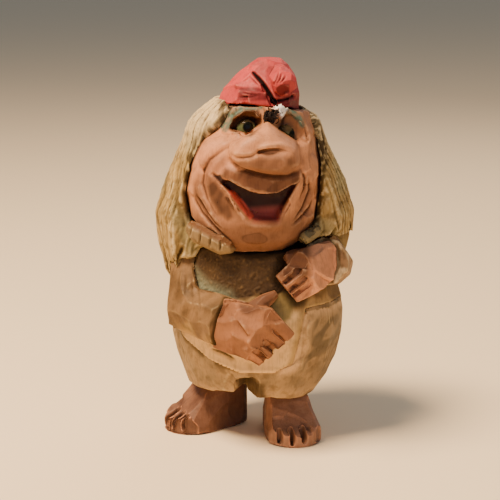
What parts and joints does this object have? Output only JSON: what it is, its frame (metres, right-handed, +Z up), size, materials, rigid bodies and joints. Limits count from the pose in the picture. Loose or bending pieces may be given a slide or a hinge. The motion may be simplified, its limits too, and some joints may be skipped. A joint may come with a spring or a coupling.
{
  "type": "carved troll figure",
  "caption": "Standing carved wooden troll ornament with a folded cap, long hair, an open laughing mouth and hands on its belly, in worn paint.",
  "frame": {"origin": "on the floor under the middle of the figure's outer box", "axes": "+Z up through the cap, -Y the way the face looks, +X towards the troll's left hand"},
  "size_m": [0.085, 0.0814, 0.1604],
  "materials": {
    "skin_paint": "thin salmon paint on carved wood, satin",
    "foot_paint": "terracotta paint on carved wood, satin",
    "trouser_stain": "ochre stain on carved wood, satin",
    "tunic_stain": "dark olive-brown stain on stippled wood, matt",
    "sleeve_stain": "tan stain on carved wood, satin",
    "hair_stain": "straw stain with dark wash in gouged strands, satin",
    "cap_paint": "worn red paint on carved wood, satin",
    "eye_enamel": "green and black enamel on a turned bead, glossy",
    "dark_wool": "curly dark wool, matt",
    "dowel_wood": "bare birch, glued"
  },
  "bodies": {
    "root": {"right_foot": "foot_paint", "left_foot": "foot_paint", "ankle_dowels": "dowel_wood", "trousers": "trouser_stain", "hip_dowels": "dowel_wood", "trunk": "tunic_stain", "right_sleeve": "sleeve_stain", "left_sleeve": "sleeve_stain", "arm_dowels": "dowel_wood", "right_hand": "skin_paint", "left_hand": "skin_paint", "wrist_dowels": "dowel_wood", "right_collar": "sleeve_stain", "left_collar": "sleeve_stain", "neck_dowel": "dowel_wood", "head": "skin_paint", "right_eye": "eye_enamel", "left_eye": "eye_enamel", "brow_tuft": "dark_wool", "hair_back": "hair_stain", "right_lock": "hair_stain", "left_lock": "hair_stain", "cap": "cap_paint", "cap_dowel": "dowel_wood", "cap_tip": "cap_paint", "tip_dowel": "dowel_wood"}
  },
  "joints": []
}
